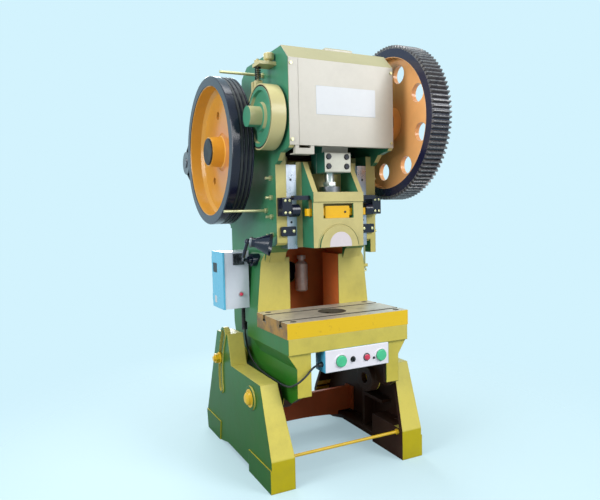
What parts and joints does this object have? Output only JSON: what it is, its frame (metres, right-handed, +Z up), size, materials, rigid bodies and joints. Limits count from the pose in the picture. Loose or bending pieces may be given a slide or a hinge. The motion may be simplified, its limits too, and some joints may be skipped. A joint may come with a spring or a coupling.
{
  "type": "punch press",
  "caption": "Inclinable C-frame punch press with crank-driven ram, open gear, belt-driven flywheel, T-slot bolster, work lamp and two-hand control box.",
  "frame": {"origin": "on the floor, under the middle of the press's overall width and depth", "axes": "+X to the operator's right (gear side), +Y to the back, +Z up"},
  "size_m": [1.045, 1.561, 2.208],
  "materials": {
    "body_green": "satin",
    "leg_green": "satin",
    "cover_cream": "satin",
    "band_cream": "satin",
    "primer": "matte",
    "yellow": "satin",
    "gear_dark": "satin",
    "wheel_dark": "satin",
    "machined": "brushed",
    "steel_dark": "satin",
    "bright": "polished",
    "bronze": "satin",
    "bolt_zinc": "satin",
    "bolt_black": "satin",
    "black_rubber": "matte",
    "lining": "matte",
    "bottle": "gloss",
    "box_white": "satin",
    "door_blue": "satin",
    "lamp_black": "satin",
    "panel_white": "satin",
    "mint": "gloss",
    "red": "gloss",
    "black_plastic": "matte",
    "motor_green": "satin"
  },
  "bodies": {
    "base": {"left_leg": "leg_green", "right_leg": "leg_green", "rear_tie": "primer", "front_tie_rod": "yellow"},
    "frame": {"frame_casting": "body_green", "pivot_bolts": "yellow", "tilt_clamp_bolts": "yellow", "bolster_plate": "machined", "bolster_bolts": "bolt_black", "head_cover": "cover_cream", "cover_bolts": "bolt_zinc", "top_lid": "cover_cream", "crankshaft": "steel_dark", "crank_bushes": "bronze", "rod_cap": "primer", "cap_bolts": "bolt_black", "brake_drum": "body_green", "brake_band": "band_cream", "brake_lining": "lining", "brake_tension_bolt": "band_cream", "brake_spring": "bolt_black", "guard_rods": "bolt_zinc", "shaft_bearings": "bolt_zinc", "motor": "motor_green", "motor_bracket": "body_green", "v_belts": "black_rubber", "gib_right": "machined", "gib_left": "machined", "gib_screws": "bolt_zinc", "knockout_stops": "body_green", "gib_keepers": "body_green", "oil_reservoir": "bottle", "electric_box": "box_white", "two_hand_box": "panel_white", "cable": "black_rubber", "cable_glands": "black_plastic", "lamp_base": "lamp_black"},
    "gear": {"big_gear": "gear_dark"},
    "drive": {"drive_shaft": "steel_dark", "flywheel": "wheel_dark", "pinion": "gear_dark"},
    "motor_rotor": {"motor_pulley": "steel_dark"},
    "rod": {"connecting_rod": "body_green", "rod_clamp": "body_green", "rod_clamp_bolts": "bolt_zinc"},
    "ram": {"slide": "body_green", "shank_clamp": "body_green", "ball_seat_cap": "steel_dark"},
    "screw": {"adjusting_screw": "bright"},
    "knockout": {"knockout_bar": "yellow"},
    "palm_left": {"palm_button_left": "mint"},
    "palm_right": {"palm_button_right": "mint"},
    "stop": {"stop_button": "red"},
    "mode_selector": {"selector": "black_plastic"},
    "box_stop": {"box_button": "red"},
    "main_switch": {"isolator": "red"},
    "door": {"box_door": "door_blue"},
    "lamp_carrier": {"lamp_arm": "lamp_black"},
    "lamp_head": {"lamp_shade": "lamp_black"},
    "pull_rod": {"clutch_pull_rod": "bolt_zinc"}
  },
  "joints": [
    {"name": "frame_tilt", "type": "hinge", "parent": "base", "child": "frame", "pos_m": [0, -0.3045, 0.399], "axis": [-1, 0, 0], "range_deg": [0, 20]},
    {"name": "gear_spin", "type": "hinge", "parent": "frame", "child": "gear", "pos_m": [0.352, -0.3725, 1.8], "axis": [1, 0, 0], "continuous": true},
    {"name": "drive_shaft_spin", "type": "hinge", "parent": "frame", "child": "drive", "pos_m": [0.352, 0.07462, 1.676], "axis": [1, 0, 0], "continuous": true},
    {"name": "motor_spin", "type": "hinge", "parent": "frame", "child": "motor_rotor", "pos_m": [-0.25, 0.6625, 1.665], "axis": [1, 0, 0], "continuous": true},
    {"name": "slide_stroke", "type": "slide", "parent": "frame", "child": "rod", "axis": [0, 0, -1], "range_m": [0, 0.08]},
    {"name": "shut_height", "type": "slide", "parent": "rod", "child": "ram", "axis": [0, 0, -1], "range_m": [-0.02, 0.05]},
    {"name": "screw_turn", "type": "hinge", "parent": "ram", "child": "screw", "pos_m": [0, -0.3725, 1.422], "axis": [0, 0, 1], "range_deg": [-1300, 3100]},
    {"name": "knockout_lift", "type": "slide", "parent": "ram", "child": "knockout", "axis": [0, 0, 1], "range_m": [0, 0.022]},
    {"name": "palm_left_press", "type": "slide", "parent": "frame", "child": "palm_left", "axis": [0, 1, 0], "range_m": [0, 0.004], "stiffness_N_per_m": 500},
    {"name": "palm_right_press", "type": "slide", "parent": "frame", "child": "palm_right", "axis": [0, 1, 0], "range_m": [0, 0.004], "stiffness_N_per_m": 500},
    {"name": "stop_press", "type": "slide", "parent": "frame", "child": "stop", "axis": [0, 1, 0], "range_m": [0, 0.004], "stiffness_N_per_m": 400},
    {"name": "box_stop_press", "type": "slide", "parent": "frame", "child": "box_stop", "axis": [0, 1, 0], "range_m": [0, 0.004], "stiffness_N_per_m": 400},
    {"name": "selector_turn", "type": "hinge", "parent": "frame", "child": "mode_selector", "pos_m": [0.006, -0.5675, 0.598], "axis": [0, 1, 0], "range_deg": [-45, 45]},
    {"name": "main_switch_turn", "type": "hinge", "parent": "frame", "child": "main_switch", "pos_m": [-0.403, -0.0725, 1.09], "axis": [0, 1, 0], "range_deg": [0, 90]},
    {"name": "door_swing", "type": "hinge", "parent": "frame", "child": "door", "pos_m": [-0.4924, 0.1145, 0.822], "axis": [0, 0, -1], "range_deg": [0, 110]},
    {"name": "lamp_swivel", "type": "hinge", "parent": "frame", "child": "lamp_carrier", "pos_m": [-0.35, -0.1225, 1.085], "axis": [1, 0, 0], "range_deg": [0, 40]},
    {"name": "lamp_nod", "type": "hinge", "parent": "lamp_carrier", "child": "lamp_head", "pos_m": [-0.44, -0.3125, 1.195], "axis": [0, 1, 0], "range_deg": [-10, 20]},
    {"name": "pull_rod_stroke", "type": "slide", "parent": "frame", "child": "pull_rod", "axis": [0, 0, -1], "range_m": [0, 0.012], "stiffness_N_per_m": 2000, "springref_m": -0.005}
  ],
  "couplings": [
    {"joint": "drive_shaft_spin", "follows": "gear_spin", "ratio": -6.25},
    {"joint": "motor_spin", "follows": "gear_spin", "ratio": -40},
    {"joint": "screw_turn", "follows": "shut_height", "rad_per_m": 1047.2}
  ]
}
